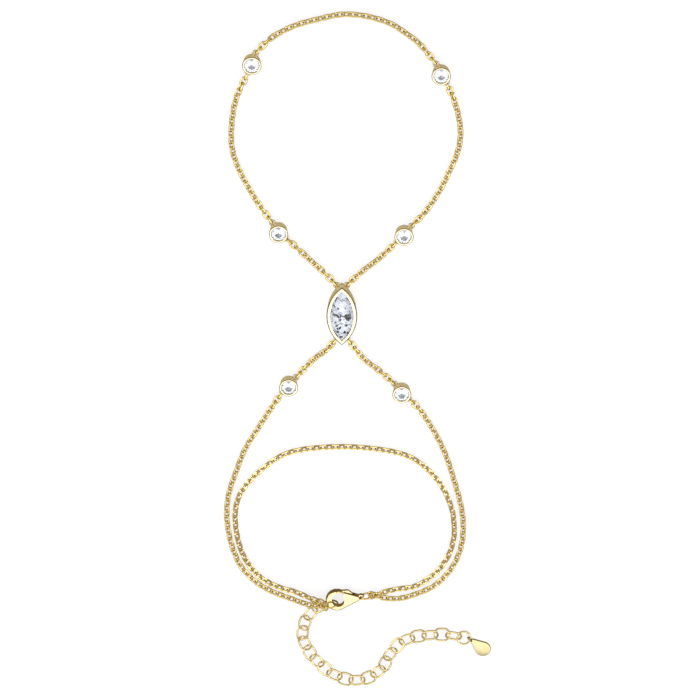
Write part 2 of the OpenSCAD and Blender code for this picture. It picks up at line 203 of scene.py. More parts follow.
def burnish():
    """Node group: how polished gilt differs from place to place."""
    group = bpy.data.node_groups.new("burnish", "ShaderNodeTree")
    for name, kind, value in (
        ("Pale", "NodeSocketColor", (1, 1, 1, 1)),
        ("Deep", "NodeSocketColor", (1, 1, 1, 1)),
        ("Cloud size", "NodeSocketFloat", 600),
        ("Scratch size", "NodeSocketFloat", 9000),
        ("Smoothest", "NodeSocketFloat", 0.05),
        ("Roughest", "NodeSocketFloat", 0.2),
        ("Scratch depth", "NodeSocketFloat", 0.1),
    ):
        socket = group.interface.new_socket(name, in_out="INPUT", socket_type=kind)
        socket.default_value = value
    for name, kind in (("Color", "NodeSocketColor"), ("Roughness", "NodeSocketFloat"),
                       ("Normal", "NodeSocketVector")):
        group.interface.new_socket(name, in_out="OUTPUT", socket_type=kind)
    node = group.nodes.new
    link = group.links.new
    given = node("NodeGroupInput")
    result = node("NodeGroupOutput")
    place = node("ShaderNodeTexCoord")

    # Soft clouds of two tones
    cloud = node("ShaderNodeTexNoise")
    cloud.inputs["Detail"].default_value = 3
    tint = node("ShaderNodeMix")
    tint.data_type = "RGBA"
    link(place.outputs["Object"], cloud.inputs["Vector"])
    link(given.outputs["Cloud size"], cloud.inputs["Scale"])
    link(cloud.outputs["Fac"], tint.inputs["Factor"])
    link(given.outputs["Deep"], tint.inputs["A"])
    link(given.outputs["Pale"], tint.inputs["B"])
    link(tint.outputs["Result"], result.inputs["Color"])

    # Fine scratches, all drawn out one way by the polishing wheel
    stretch = node("ShaderNodeMapping")
    stretch.inputs["Rotation"].default_value = (0.3, 0.2, 0.7)
    stretch.inputs["Scale"].default_value = (1, 0.12, 1)
    scratch = node("ShaderNodeTexNoise")
    scratch.inputs["Detail"].default_value = 2
    link(place.outputs["Object"], stretch.inputs["Vector"])
    link(stretch.outputs[0], scratch.inputs["Vector"])
    link(given.outputs["Scratch size"], scratch.inputs["Scale"])
    rough = node("ShaderNodeMapRange")
    rough.inputs["From Min"].default_value = 0.35
    rough.inputs["From Max"].default_value = 0.7
    link(scratch.outputs["Fac"], rough.inputs["Value"])
    link(given.outputs["Smoothest"], rough.inputs["To Min"])
    link(given.outputs["Roughest"], rough.inputs["To Max"])
    link(rough.outputs["Result"], result.inputs["Roughness"])
    bump = node("ShaderNodeBump")
    bump.inputs["Distance"].default_value = 0.003 * MM
    link(given.outputs["Scratch depth"], bump.inputs["Strength"])
    link(scratch.outputs["Fac"], bump.inputs["Height"])
    link(bump.outputs["Normal"], result.inputs["Normal"])
    return group


polish = burnish()


def gilt(name, pale, deep, cloud, scratch, smoothest, roughest, depth, metallic=1.0):
    """Gold-plated brass: a metal whose tone, gloss and fine scratches come from the group."""
    metal = bpy.data.materials.new(name)
    metal.use_nodes = True
    tree = metal.node_tree
    shader = tree.nodes["Principled BSDF"]
    shader.inputs["Metallic"].default_value = metallic
    wear = tree.nodes.new("ShaderNodeGroup")
    wear.node_tree = polish
    for socket, value in (("Pale", (*pale, 1)), ("Deep", (*deep, 1)), ("Cloud size", cloud),
                          ("Scratch size", scratch), ("Smoothest", smoothest),
                          ("Roughest", roughest), ("Scratch depth", depth)):
        wear.inputs[socket].default_value = value
    tree.links.new(wear.outputs["Color"], shader.inputs["Base Color"])
    tree.links.new(wear.outputs["Roughness"], shader.inputs["Roughness"])
    tree.links.new(wear.outputs["Normal"], shader.inputs["Normal"])
    return metal


setting_gilt = gilt("polished_gilt_setting", pale=(0.80, 0.74, 0.57), deep=(0.75, 0.66, 0.45),
                    cloud=500, scratch=7000, smoothest=0.04, roughest=0.14, depth=0.12)
# Painted shade: a darker copy of the gilt on the rims' outer slopes and on slopes turned to the camera,
# for the dark outline of their reflections
edge_shade_gilt = gilt("painted_shade_edge_gilt", pale=(0.34, 0.27, 0.14), deep=(0.24, 0.18, 0.08),
                 cloud=500, scratch=7000, smoothest=0.08, roughest=0.2, depth=0.12)
# The sides of the settings are only tumbled, so they are pale and satin beside the rim
side_gilt = gilt("tumbled_gilt_side", pale=(0.95, 0.84, 0.50), deep=(0.86, 0.70, 0.36),
                 cloud=700, scratch=9000, smoothest=0.25, roughest=0.42, depth=0.3, metallic=0.5)

# The seat under each stone is white foil whose small cells are painted bright, grey or dark: painted
# glints and dark reflections of the cut


def painted_sparkle_foil():
    """Node group: small cells painted bright, grey or nearly black as painted glints and dark
    reflections, with their own gloss and bumps.
    """
    group = bpy.data.node_groups.new("painted_sparkle_foil", "ShaderNodeTree")
    for name, value in (("Cell size", 2000), ("Dark share", 0.1), ("Grey share", 0.3), ("Bright", 0.9)):
        socket = group.interface.new_socket(name, in_out="INPUT", socket_type="NodeSocketFloat")
        socket.default_value = value
    for name, kind in (("Color", "NodeSocketColor"), ("Roughness", "NodeSocketFloat"),
                       ("Normal", "NodeSocketVector")):
        group.interface.new_socket(name, in_out="OUTPUT", socket_type=kind)
    node = group.nodes.new
    link = group.links.new
    given = node("NodeGroupInput")
    result = node("NodeGroupOutput")
    place = node("ShaderNodeTexCoord")
    cells = node("ShaderNodeTexVoronoi")
    parts = node("ShaderNodeSeparateColor")
    link(place.outputs["Object"], cells.inputs["Vector"])
    link(given.outputs["Cell size"], cells.inputs["Scale"])
    link(cells.outputs["Color"], parts.inputs[0])

    # Each cell's own number says whether it is painted bright, grey or dark
    shine = node("ShaderNodeCombineColor")
    for channel in ("Red", "Green", "Blue"):
        link(given.outputs["Bright"], shine.inputs[channel])
    tone = shine.outputs["Color"]
    for share, colour in (("Grey share", (0.50, 0.53, 0.58, 1)), ("Dark share", (0.02, 0.02, 0.03, 1))):
        below = node("ShaderNodeMath")
        below.operation = "LESS_THAN"
        blend = node("ShaderNodeMix")
        blend.data_type = "RGBA"
        blend.inputs["B"].default_value = colour
        link(parts.outputs["Red"], below.inputs[0])
        link(given.outputs[share], below.inputs[1])
        link(below.outputs[0], blend.inputs["Factor"])
        link(tone, blend.inputs["A"])
        tone = blend.outputs["Result"]
    link(tone, result.inputs["Color"])

    rough = node("ShaderNodeMapRange")
    rough.inputs["To Min"].default_value = 0.1
    rough.inputs["To Max"].default_value = 0.4
    link(parts.outputs["Green"], rough.inputs["Value"])
    link(rough.outputs["Result"], result.inputs["Roughness"])
    lift = node("ShaderNodeBump")
    lift.inputs["Distance"].default_value = 0.02 * MM
    lift.inputs["Strength"].default_value = 0.4
    link(cells.outputs["Distance"], lift.inputs["Height"])
    link(lift.outputs["Normal"], result.inputs["Normal"])
    return group


painted_sparkle = painted_sparkle_foil()


def foil_seat(name, cell, dark, grey, bright):
    """The white foil of one kind of seat, with its painted sparkle."""
    foil = bpy.data.materials.new(name)
    foil.use_nodes = True
    tree = foil.node_tree
    shader = tree.nodes["Principled BSDF"]
    shader.inputs["Metallic"].default_value = 0.15
    pressed = tree.nodes.new("ShaderNodeGroup")
    pressed.node_tree = painted_sparkle
    for socket, value in (("Cell size", cell), ("Dark share", dark), ("Grey share", grey),
                          ("Bright", bright)):
        pressed.inputs[socket].default_value = value
    tree.links.new(pressed.outputs["Color"], shader.inputs["Base Color"])
    tree.links.new(pressed.outputs["Roughness"], shader.inputs["Roughness"])
    tree.links.new(pressed.outputs["Normal"], shader.inputs["Normal"])
    return foil


marquise_foil = foil_seat("foil_painted_sparkle_marquise", cell=2200, dark=0.16, grey=0.38, bright=0.98)

# Across its middle a marquise cut always shows a dark bow tie: two wings and a bar. Smaller dark facets
# lie above and below it. Both are painted shade on the foil. Each spot is given by its place and its
# radius.
PAINTED_BOW_TIE = ((-4.45, 10.85, 0.24), (-4.15, 10.55, 0.24), (-3.95, 10.3, 0.2), (-3.6, 10.35, 0.15),
           (-3.25, 10.35, 0.15), (-2.95, 10.4, 0.2), (-2.55, 10.6, 0.42), (-2.45, 10.2, 0.38),
           (-2.3, 9.85, 0.26))
PAINTED_DARK_FACETS = ((-4.6, 13.9, 0.26), (-4.2, 12.3, 0.28), (-3.9, 12.0, 0.18), (-2.75, 12.3, 0.32),
               (-5.5, 10.6, 0.28), (-4.5, 9.4, 0.18), (-5.4, 8.3, 0.2), (-4.1, 7.3, 0.24),
               (-2.95, 7.3, 0.22))
tree = marquise_foil.node_tree
place = tree.nodes.new("ShaderNodeTexCoord")
from_above = tree.nodes.new("ShaderNodeVectorMath")
from_above.operation = "MULTIPLY"
from_above.inputs[1].default_value = (1, 1, 0)
tree.links.new(place.outputs["Object"], from_above.inputs[0])


def paint_shade_spot(tone, x, y, radius):
    """Paints one round spot of shade on the marquise's foil, and returns the tone with that spot."""
    apart = tree.nodes.new("ShaderNodeVectorMath")
    apart.operation = "DISTANCE"
    apart.inputs[1].default_value = (x * MM, y * MM, 0)
    within = tree.nodes.new("ShaderNodeMath")
    within.operation = "LESS_THAN"
    within.inputs[1].default_value = radius * MM
    shade_spot = tree.nodes.new("ShaderNodeMix")
    shade_spot.data_type = "RGBA"
    shade_spot.inputs["B"].default_value = (0.02, 0.02, 0.02, 1)
    tree.links.new(from_above.outputs["Vector"], apart.inputs[0])
    tree.links.new(apart.outputs["Value"], within.inputs[0])
    tree.links.new(within.outputs[0], shade_spot.inputs["Factor"])
    tree.links.new(tone, shade_spot.inputs["A"])
    return shade_spot.outputs["Result"]


tone = tree.nodes["Group"].outputs["Color"]
for x, y, radius in PAINTED_BOW_TIE + PAINTED_DARK_FACETS:
    tone = paint_shade_spot(tone, x, y, radius)
shader = tree.nodes["Principled BSDF"]
tree.links.new(tone, shader.inputs["Base Color"])

# The seat glows a little: painted light that stands in for what the cut throws back from the whole sky
tree.links.new(tone, shader.inputs["Emission Color"])
shader.inputs["Emission Strength"].default_value = 0.18


def cut(piece, tool, kind="DIFFERENCE"):
    """Cuts a piece by a tool solid, or joins or keeps what both share, and removes the tool."""
    rest()
    bpy.context.view_layer.objects.active = piece
    step = piece.modifiers.new("cut", "BOOLEAN")
    step.operation = kind
    step.solver = "EXACT"
    step.object = tool
    bpy.ops.object.modifier_apply(modifier=step.name)
    bpy.data.objects.remove(tool)
    return piece


def wrapped(*bars):
    """Joins some bars and stretches a skin round them all."""
    rest()
    for bar in bars:
        bar.select_set(True)
    bpy.context.view_layer.objects.active = bars[0]
    bpy.ops.object.join()
    bpy.ops.object.transform_apply(location=True, rotation=True, scale=True)
    bpy.ops.object.mode_set(mode="EDIT")
    bpy.ops.mesh.select_all(action="SELECT")
    bpy.ops.mesh.convex_hull()
    bpy.ops.mesh.select_all(action="SELECT")
    bpy.ops.mesh.dissolve_limited(angle_limit=math.radians(1))
    rest()
    return bars[0]


def eyelet(x, y, z, radius, wire, turn=(0, 0, 0)):
    """A small soldered ring."""
    rest()
    bpy.ops.mesh.primitive_torus_add(
        location=(x * MM, y * MM, z * MM), rotation=turn, major_radius=radius * MM,
        minor_radius=wire / 2 * MM, major_segments=36, minor_segments=14)
    return bpy.context.object


def line_seat(piece, inside, low, high):
    """Gives the faces of the seat, which look inwards and up, their white foil."""
    for face in piece.data.polygons:
        middle = piece.matrix_world @ face.center
        if low < middle.z / MM < high and face.normal.z > -0.5 and inside(middle / MM):
            face.material_index = 1


def fix_on(piece, name, body, metal, replaced):
    """Names a finished piece, gives it its metal unless it has its own, and mounts it."""
    rest()
    bpy.context.view_layer.objects.active = piece
    piece.select_set(True)
    bpy.ops.object.transform_apply(location=True, rotation=True, scale=True)
    bpy.ops.object.shade_smooth_by_angle(angle=math.radians(32))
    piece.name = name
    if metal:
        piece.data.materials.clear()
        piece.data.materials.append(metal)
    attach(piece, body)
    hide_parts(*replaced)


def paint_edge_shade(piece, test):
    """Paints shade with the darker gilt on the slopes of a finished piece, wherever the test holds."""
    piece.data.materials.append(edge_shade_gilt)
    for face in piece.data.polygons:
        if 0.1 < face.normal.z < 0.93 and test(face.center / MM, face.normal):
            face.material_index = len(piece.data.materials) - 1


def tone_side(piece, test):
    """Gives the outer side of a setting its tumbled tone, wherever the test holds."""
    piece.data.materials.append(side_gilt)
    for face in piece.data.polygons:
        if -0.5 < face.normal.z < 0.12 and test(face.center / MM):
            face.material_index = len(piece.data.materials) - 1


MARQUISE_AT = (-3.4, 11.2)
MARQUISE_L = 13.2
MARQUISE_W = 6.4
MARQUISE_H = 3.3
# Both walls are arcs of one radius, whose middles lie off to the two sides
ARC_R = (MARQUISE_L ** 2 + MARQUISE_W ** 2) / 4 / MARQUISE_W
ARC_OFF = ARC_R - MARQUISE_W / 2
ARC_SIDES = 224
WALL_LEAN = 0.2
RIM_ROUND = 0.26
RIM_STEP = 18
THIN = 0.004


def crossing(z0, z1, low, high):
    """The solid that two leaning round walls share: the outline of the marquise."""
    both = []
    for side in (-1, 1):
        rest()
        bpy.ops.mesh.primitive_cone_add(
            vertices=ARC_SIDES, radius1=low * MM, radius2=high * MM, depth=(z1 - z0) * MM,
            location=((MARQUISE_AT[0] + side * ARC_OFF) * MM, MARQUISE_AT[1] * MM,
                      (z0 + z1) / 2 * MM))
        both.append(bpy.context.object)
    return cut(both[0], both[1], "INTERSECT")


def from_arc(p):
    """How far a place lies from the centre of the arc on its side of the marquise."""
    return math.hypot(abs(p.x - MARQUISE_AT[0]) + ARC_OFF, p.y - MARQUISE_AT[1])


outlines = [crossing(0, THIN, ARC_R - WALL_LEAN, ARC_R - WALL_LEAN)]
for turn in range(0, 91, RIM_STEP):
    a = math.radians(turn)
    reach = ARC_R - RIM_ROUND * (1 - math.cos(a))
    level = MARQUISE_H - RIM_ROUND * (1 - math.sin(a))
    outlines.append(crossing(level - THIN, level, reach, reach))
marquise = wrapped(*outlines)

# Down from the rim: a mouth that flares upwards, a groove for the girdle, and a leaning seat.
# Each reaches a little into the one above it. What lies nearer than NEAR counts as touching.
RIM_W = 0.8
MOUTH_DEEP = 0.36
MOUTH_FLARE = 0.22
GROOVE_DEEP = 0.82
GROOVE_WALL = 0.62
SEAT_DEEP = 2.5
SEAT_HALF = 0.35
LAP = 0.02
NEAR = 0.04
ABOVE = 0.3
MOUTH = ARC_R - RIM_W
GROOVE = ARC_R - GROOVE_WALL
cut(marquise, crossing(MARQUISE_H - MOUTH_DEEP, MARQUISE_H + ABOVE, MOUTH, MOUTH + MOUTH_FLARE))
cut(marquise, crossing(MARQUISE_H - GROOVE_DEEP, MARQUISE_H - MOUTH_DEEP + LAP, GROOVE, GROOVE))
cut(marquise, crossing(MARQUISE_H - SEAT_DEEP, MARQUISE_H - GROOVE_DEEP + LAP,
                       ARC_OFF + SEAT_HALF, GROOVE))
marquise.data.materials.clear()
marquise.data.materials.append(setting_gilt)
marquise.data.materials.append(marquise_foil)
line_seat(marquise, lambda p: from_arc(p) < GROOVE + NEAR,
          MARQUISE_H - SEAT_DEEP - NEAR, MARQUISE_H - MOUTH_DEEP - NEAR)

# Two eyelets stand out of the wall at each tip, level with the middle of the chain
EYE_R = 0.55
EYE_WIRE = 0.36
CHAIN_Z = 0.735
EYE_BEARING = math.radians(44)
EYE_OUT = 0.42
for sx in (-1, 1):
    for sy in (-1, 1):
        reach = ARC_R - WALL_LEAN * (1 - CHAIN_Z / MARQUISE_H) + EYE_OUT
        x = MARQUISE_AT[0] + sx * (reach * math.cos(EYE_BEARING) - ARC_OFF)
        y = MARQUISE_AT[1] + sy * reach * math.sin(EYE_BEARING)
        cut(marquise, eyelet(x, y, CHAIN_Z, EYE_R, EYE_WIRE), "UNION")
fix_on(marquise, "marquise_bezel", "bracelet", None, ["marquise_setting"])

# The painted shade of the edge reaches this far down from the top and in from the outline, and the
# tumbled side leans in no farther than SIDE_WIDE
EDGE_DEEP = 0.3
EDGE_WIDE = 0.35
SIDE_WIDE = 0.3
# Painted shade on the outer slope of the marquise's rim
paint_edge_shade(marquise, lambda p, n: p.z > MARQUISE_H - EDGE_DEEP and from_arc(p) > ARC_R - EDGE_WIDE)
tone_side(marquise, lambda p: from_arc(p) > ARC_R - SIDE_WIDE)

# Round settings
# Six turned cups of gilt brass, each a leaning wall with a rounded rim burnished over its
# stone. Two eyelets are soldered on each, level with the middle of the chain.
round_foil = foil_seat("foil_painted_sparkle_round", cell=2200, dark=0.10, grey=0.34, bright=0.72)

# Each cup's place, and the bearings of its two eyelets in degrees
CUPS = (((-21.7, 67.0), (70, 250)), ((16.9, 64.7), (117, -62)), ((-16.5, 29.6), (125, -48)),
        ((9.5, 29.0), (48, 231)), ((-14.6, -5.6), (46, 234)), ((9.2, -7.2), (132, -50)))
CUP_R = 1.98
CUP_BACK_R = 1.7
CUP_H = 2.7
CUP_MOUTH_R = 1.46
CUP_ROUND = 0.19
CUP_EYE_OUT = 0.52
CUP_EDGE_WIDE = 0.25
CUP_SIDE_R = CUP_BACK_R - 0.05
# Down from the rim: the mouth, the ledge of the groove, the groove's wall, and the seat's cone.
# Each step goes down by a depth and widens or narrows by a factor.
CUP_STEPS = ((0.3, 1), (0.05, 1.08), (0.2, 1), (1.33, 0.09))
# The foil lines what lies inside this radius, between these depths below the rim
CUP_FOIL_R = 1.6
CUP_FOIL_TOP = 0.4
CUP_FOIL_DEEP = 2


def edit(piece):
    """Enters edit mode on one piece."""
    rest()
    bpy.context.view_layer.objects.active = piece
    piece.select_set(True)
    bpy.ops.object.mode_set(mode="EDIT")


def pick(piece, kind, test):
    """In edit mode, selects the faces or edges whose middle and normal pass the test."""
    bpy.ops.mesh.select_mode(type="FACE" if kind == "faces" else "EDGE")
    mesh = bmesh.from_edit_mesh(piece.data)
    for part in (mesh.verts, mesh.edges, mesh.faces):
        for one in part:
            one.select = False
    for one in getattr(mesh, kind):
        middle = sum((v.co for v in one.verts), Vector()) / len(one.verts)
        facing = one.normal if kind == "faces" else sum((f.normal for f in one.link_faces), Vector())
        if test(middle, facing):
            one.select_set(True)
    bmesh.update_edit_mesh(piece.data)


def from_middle(p):
    """How far a place lies from the axis of a cup that stands at the origin."""
    return math.hypot(p.x, p.y)


def is_corner(p):
    """True on the outer and inner edge of a cup's rim, and all round its foot."""
    from_edge = min(abs(from_middle(p) - radius) for radius in (CUP_R, CUP_MOUTH_R))
    return p.z < NEAR or (p.z > CUP_H - NEAR and from_edge < NEAR)


def turned_cup():
    """One plain cup at the origin, turned from a short bar: tapered, hollowed and rounded."""
    rest()
    bpy.ops.mesh.primitive_cylinder_add(vertices=72, radius=CUP_R * MM, depth=CUP_H * MM,
                                        location=(0, 0, CUP_H / 2 * MM))
    one = bpy.context.object
    bpy.ops.object.transform_apply(location=True)
    edit(one)
    pick(one, "faces", lambda p, n: n.z < -0.9)
    taper = CUP_BACK_R / CUP_R
    bpy.ops.transform.resize(value=(taper, taper, 1), center_override=(0, 0, 0))
    pick(one, "faces", lambda p, n: n.z > 0.9)
    bpy.ops.mesh.inset(thickness=(CUP_R - CUP_MOUTH_R) * MM)
    for drop, grow in CUP_STEPS:
        bpy.ops.mesh.extrude_region_move(TRANSFORM_OT_translate={"value": (0, 0, -drop * MM)})
        bpy.ops.transform.resize(value=(grow, grow, 1), center_override=(0, 0, 0))
    pick(one, "edges", lambda p, n: is_corner(p / MM))
    bpy.ops.mesh.bevel(offset=CUP_ROUND * MM, segments=5, profile=0.5)
    rest()
    one.data.materials.append(setting_gilt)
    one.data.materials.append(round_foil)
    line_seat(one, lambda p: from_middle(p) < CUP_FOIL_R,
              CUP_H - CUP_FOIL_DEEP, CUP_H - CUP_FOIL_TOP)
    return one


def copy_to(pattern, place):
    """A copy of a finished shape, with its own mesh, at a place given as a matrix."""
    copy = pattern.copy()
    copy.data = pattern.data.copy()
    bpy.context.scene.collection.objects.link(copy)
    copy.matrix_world = place
    return copy


def solder_cup(one, x, y, bearings, number):
    """Solders two eyelets on a cup that stands at x and y, and mounts it."""
    reach = CUP_BACK_R + CUP_EYE_OUT
    for bearing in bearings:
        a = math.radians(bearing)
        eye = eyelet(x + reach * math.cos(a), y + reach * math.sin(a), CHAIN_Z, EYE_R, EYE_WIRE)
        cut(one, eye, "UNION")
    fix_on(one, f"round_bezel_{number}", "bracelet", None, [f"round_setting_{number}"])
    middle = Vector((x, y, 0))
    # Painted shade on the outer slope of the cup's rim
    paint_edge_shade(one, lambda p, n: (p.z > CUP_H - EDGE_DEEP
                                 and from_middle(p - middle) > CUP_R - CUP_EDGE_WIDE))
    tone_side(one, lambda p: from_middle(p - middle) > CUP_SIDE_R)


plain_cup = turned_cup()
for number, ((x, y), bearings) in enumerate(CUPS, 1):
    one = copy_to(plain_cup, Matrix.Translation((x * MM, y * MM, 0)))
    solder_cup(one, x, y, bearings, number)
bpy.data.objects.remove(plain_cup)

# Stones
# Cut clear stones, one marquise and six rounds, held by their bezels. They are hard and very
# clear, with a faint cool cast and tiny dust that dulls them here and there.


def clear_stone(name, bending):
    """A clear cut stone: its dust and faint cool cast are the same for each cut."""
    stone = bpy.data.materials.new(name)
    stone.use_nodes = True
    tree = stone.node_tree
    shader = tree.nodes["Principled BSDF"]
    shader.inputs["Transmission Weight"].default_value = 1.0
    shader.inputs["IOR"].default_value = bending
    place = tree.nodes.new("ShaderNodeTexCoord")
    dust = tree.nodes.new("ShaderNodeTexNoise")
    dust.inputs["Scale"].default_value = 1800
    haze = tree.nodes.new("ShaderNodeMix")
    haze.data_type = "RGBA"
    haze.inputs["A"].default_value = (0.97, 0.985, 1.0, 1)
    haze.inputs["B"].default_value = (0.93, 0.95, 1.0, 1)
    spread = tree.nodes.new("ShaderNodeMapRange")
    spread.inputs["From Min"].default_value = 0.6
    spread.inputs["From Max"].default_value = 0.8
    spread.inputs["To Min"].default_value = 0.0
    spread.inputs["To Max"].default_value = 0.05
    tree.links.new(place.outputs["Object"], dust.inputs["Vector"])
    tree.links.new(dust.outputs["Fac"], haze.inputs["Factor"])
    tree.links.new(haze.outputs["Result"], shader.inputs["Base Color"])
    tree.links.new(dust.outputs["Fac"], spread.inputs["Value"])
    tree.links.new(spread.outputs["Result"], shader.inputs["Roughness"])
    return stone


def dress(piece, finish):
    """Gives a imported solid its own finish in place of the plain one."""
    for one in cad[piece].material_slots:
        one.material = finish


# The big stone bends light less than a real one, so that the foil behind it shows through
dress("marquise_stone", clear_stone("marquise_clear_stone", bending=1.36))
round_stone = clear_stone("round_clear_stone", bending=1.75)
for number in range(1, len(CUPS) + 1):
    dress(f"round_stone_{number}", round_stone)

# Fine chains
# Cable chain of 0.36 mm gilt wire: oval soldered links, each turned a quarter from the last.
# The runs between the settings, and from them down to the clasp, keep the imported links.
chain_gilt = gilt("gilt_chain_wire", pale=(0.96, 0.81, 0.36), deep=(0.86, 0.67, 0.20),
                  cloud=900, scratch=12000, smoothest=0.06, roughest=0.22, depth=0.2)
for number in range(1, 6):
    dress(f"hand_chain_{number}", chain_gilt)
for number in (1, 2):
    dress(f"fork_chain_{number}", chain_gilt)
    dress(f"outer_chain_{number}", chain_gilt)

# Wrist chain
# The chain round the wrist is the same gilt wire and links. It runs from the ring at the
# clasp's tail to the ring at its hook, in place of the thin rod that collides for it.
LINK_WIRE = 0.36
LINK_LEN = 2.2
LINK_WID = 1.45
LINK_STEP = 1.34
CLASP_AT = (-4.5, -56.5)
CLASP_TURN = math.radians(7)
RING_WIRE = 0.38
# Each upright ring's place along and across the clasp, and its radius
HOOK_RING = (-1.62, -0.75, 1.66)
TAIL_RING = (6.4, 0, 1.24)


def on_ring(ring, degrees):
    """A point of the wire of one of the clasp's upright rings: 0 is its far right."""
    along, across, radius = ring
    a = math.radians(degrees)
    along += radius * math.cos(a)
    return (CLASP_AT[0] + along * math.cos(CLASP_TURN) - across * math.sin(CLASP_TURN),
            CLASP_AT[1] + along * math.sin(CLASP_TURN) + across * math.cos(CLASP_TURN),
            radius + RING_WIRE / 2 + radius * math.sin(a))


# Where the chain lies, point by point. It lies on the table except near the rings, where a
# third number gives its height.
WRIST_ROUTE = [
    on_ring(TAIL_RING, 18), (6, -54.6, 1.5), (8.4, -54.3, 0.9), (12, -53.8), (15, -52),
    (17.5, -49.5), (19.5, -46), (20.5, -42), (20.5, -38.5), (20, -35), (18.5, -31),
    (16, -27), (12, -23.3), (8, -21.6), (3, -20.7), (-2, -20.3), (-7, -20.4), (-12, -21),
    (-16, -22.3), (-20, -25.3), (-23.5, -29), (-25.5, -32.5), (-26.2, -36.5),
    (-25.9, -41), (-25, -45), (-23.3, -48.6), (-20.6, -51.8), (-17, -53.9), (-13.4, -54.9, 1.1),
    (-10.4, -55.8, 2.1), (-8.3, -56.4, 3), on_ring(HOOK_RING, 128)]
# The first and last links' middles lie this far inside the ends of the route
TAIL_LEAD = 0.3
HOOK_LEAD = 0.27


def smooth_line(points, steps=6):
    """A smooth line through a route's points."""
    p = [Vector(q if len(q) == 3 else (*q, CHAIN_Z)) for q in points]
    line = []
    for i in range(len(p) - 1):
        a, b, c, d = p[max(i - 1, 0)], p[i], p[i + 1], p[min(i + 2, len(p) - 1)]
        for k in range(steps):
            u = k / steps
            line.append(0.5 * (2 * b + (c - a) * u + (2 * a - 5 * b + 4 * c - d) * u * u
                               + (3 * b - a - 3 * c + d) * u ** 3))
    return line + [p[-1]]


def walk(line):
    """Returns a function that gives the point at a length along the line, and the length."""
    reach = [0.0]
    for a, b in zip(line, line[1:]):
        reach.append(reach[-1] + (b - a).length)

    def at(s):
        s = min(max(s, 0), reach[-1])
        i = max(k for k in range(len(reach) - 1) if reach[k] <= s)
        return line[i].lerp(line[i + 1], (s - reach[i]) / (reach[i + 1] - reach[i]))

    return at, reach[-1]


def one_link():
    """A ring of wire, drawn out into an oval link."""
    rest()
    bpy.ops.mesh.primitive_torus_add(
        major_radius=(LINK_WID - LINK_WIRE) / 2 * MM, minor_radius=LINK_WIRE / 2 * MM,
        major_segments=20, minor_segments=8)
    drawn = bpy.context.object
    edit(drawn)
    for side in (-1, 1):
        pick(drawn, "faces", lambda p, n: side * p.x > 0)
        bpy.ops.transform.translate(value=(side * (LINK_LEN - LINK_WID) / 2 * MM, 0, 0))
    rest()
    return drawn


# How many degrees the links lean over, and how many less where the chain runs to the right. The
# lean fades out over a few links at each ring, where they lie flat or stand upright in turn. At
# the hook they are also turned back some way, to lie clear of the chain beside them.
LEAN_OVER = 45
TIP_UP = 25
FADE_LINKS = 4
HOOK_TURN = -40


def link_places(route, lead_0, lead_1, step):
    """Where each link lies: a quarter turn on from the last, and leaning over between the rings."""
    at, length = walk(smooth_line(route))
    free = length - lead_0 - lead_1
    last = math.ceil(free / step)
    for i in range(last + 1):
        s = lead_0 + free * i / last
        ahead = (at(s + 0.2) - at(s - 0.2)).normalized()
        at_end = 0 if i < last / 2 else (-90 * last) % 180 + HOOK_TURN
        lean = LEAN_OVER - TIP_UP * ahead.x
        share = min(1, i / FADE_LINKS, (last - i) / FADE_LINKS)
        roll = math.radians(90 * i + at_end + share * (lean - at_end))
        yield (Matrix.Translation(at(s) * MM)
               @ Matrix.Rotation(math.atan2(ahead.y, ahead.x), 4, "Z")
               @ Matrix.Rotation(-math.asin(ahead.z), 4, "Y")
               @ Matrix.Rotation(roll, 4, "X"))


first_link = one_link()
links = [copy_to(first_link, place)
         for place in link_places(WRIST_ROUTE, TAIL_LEAD, HOOK_LEAD, LINK_STEP)]
bpy.data.objects.remove(first_link)
rest()
for one in links:
    one.select_set(True)
bpy.context.view_layer.objects.active = links[0]
bpy.ops.object.join()
fix_on(links[0], "wrist_chain_links", "bracelet", chain_gilt, ["wrist_chain"])

# Rings at the clasp
# Two rings of 0.38 mm gilt wire, bent round and soldered shut. They stand upright through
# the clasp's hook and its tail eye, and hold the ends of the chains.
for piece in ("hook_ring", "tail_ring"):
    dress(piece, chain_gilt)

# Clasp
# A lobster clasp cast in gilt brass and tumbled smooth: a pillowed drop with a round throat
# behind its hook, a sprung gate on a riveted pin, and a small eye at its tail.
clasp_gilt = gilt("polished_gilt_clasp", pale=(0.84, 0.72, 0.42), deep=(0.70, 0.55, 0.26),
                  cloud=350, scratch=6000, smoothest=0.05, roughest=0.16, depth=0.12)
# Places along and across the clasp are measured from the middle of its round head
HEAD_R = 2.38
SHOULDER_X = 4.3
SHOULDER_R = 0.65
CLASP_Z = 0.75
CLASP_T = 1.5
CLASP_TOP = CLASP_Z + CLASP_T
CLASP_MIDDLE = CLASP_Z + CLASP_T / 2
PILLOW = 0.3
SOFT_EDGE = 0.06
TAIL_EYE_X = 5.2
TAIL_EYE_R = 0.66
TAIL_HOLE_R = 0.43
TAIL_EYE_HALF = 0.45
# The throat is a round hole drawn out a little across
THROAT_R = 1.33
THROAT_X = 0.27
THROAT_Y = (-0.13, 0.45)
# The pin is tight in the shell and loose in the gate, which ends on a circle round the pin
PIVOT = (2.4, 0.35)
PIN_R = 0.25
PIN_GRIP = 0.01
PIN_PLAY = 0.05
GATE_R = 2.75
GATE_GAP = 0.12
# The gate fills the side of the throat, and its arm runs in a slot through the shell
NOSE_X = -2
GATE_END_X = 1.5
GATE_LOW_Y = 0.6
GATE_INSIDE_Y = 1.7
SLOT_X = (0.8, 3.9)
SLOT_LOW_Y = -0.35
SLOT_HALF = 0.45
ARM_HALF = 0.35
# Cutting tools reach past the clasp: below it, above it and beyond its side
LOW = CLASP_Z - 1
HIGH = CLASP_TOP + 1
BEYOND_Y = 3.6


